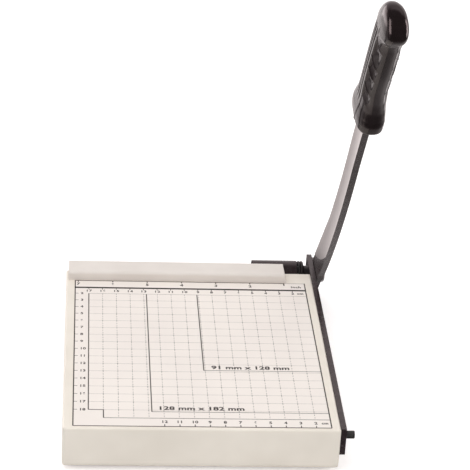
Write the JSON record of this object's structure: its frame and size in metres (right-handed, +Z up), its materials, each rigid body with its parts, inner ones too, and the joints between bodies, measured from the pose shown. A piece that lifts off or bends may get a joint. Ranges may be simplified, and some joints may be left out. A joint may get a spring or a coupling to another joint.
{
  "type": "lever card cutter",
  "caption": "Small lever cutter for cards: printed steel deck with a fence, fixed side blade and a spring-raised blade arm with a grooved handle.",
  "frame": {"origin": "bottom centre of the whole cutter's bounding box with the arm raised, on the surface it stands on", "axes": "+X to the right, across the cut towards the arm; +Y to the back, towards the fence and the pivot; +Z up"},
  "size_m": [0.2002, 0.2856, 0.3404],
  "materials": {
    "cream_paint": "satin cream paint on pressed steel",
    "scale_print": "matt off-white sheet with black print",
    "black_paint": "black paint on steel",
    "ground_steel": "fine ground face, painted black on its root and edges",
    "black_handle": "glossy black moulding",
    "zinc": "zinc plate",
    "spring_wire": "blackened spring wire",
    "bush": "blackened steel bush",
    "rubber": "black rubber"
  },
  "bodies": {
    "base": {"base_tray": "cream_paint", "scale_label": "scale_print", "paper_fence": "cream_paint", "fence_screws": "zinc", "fence_washers": "zinc", "rubber_feet": "rubber", "foot_rivets": "zinc", "fixed_blade": "black_paint", "blade_screws": "zinc", "blade_screw_washers": "zinc", "stop_screw": "zinc", "stop_sleeve": "rubber", "stop_nut": "zinc", "pivot_bush": "bush", "anchor_pin": "black_paint", "return_spring": "spring_wire"},
    "arm": {"blade_arm": "ground_steel", "handle_grip": "black_handle", "handle_pins": "zinc", "pivot_bolt": "zinc", "pivot_washer": "zinc", "spring_cup": "black_paint", "cup_washer": "zinc", "cup_nut": "zinc"}
  },
  "joints": [
    {"name": "arm_hinge", "type": "hinge", "parent": "base", "child": "arm", "pos_m": [0.08668, 0.12424, 0.0274], "axis": [1, 0, 0], "range_deg": [0, 45.5], "stiffness_Nm_per_rad": 0.35, "springref_deg": -171.89, "deforming": ["return_spring"]}
  ]
}
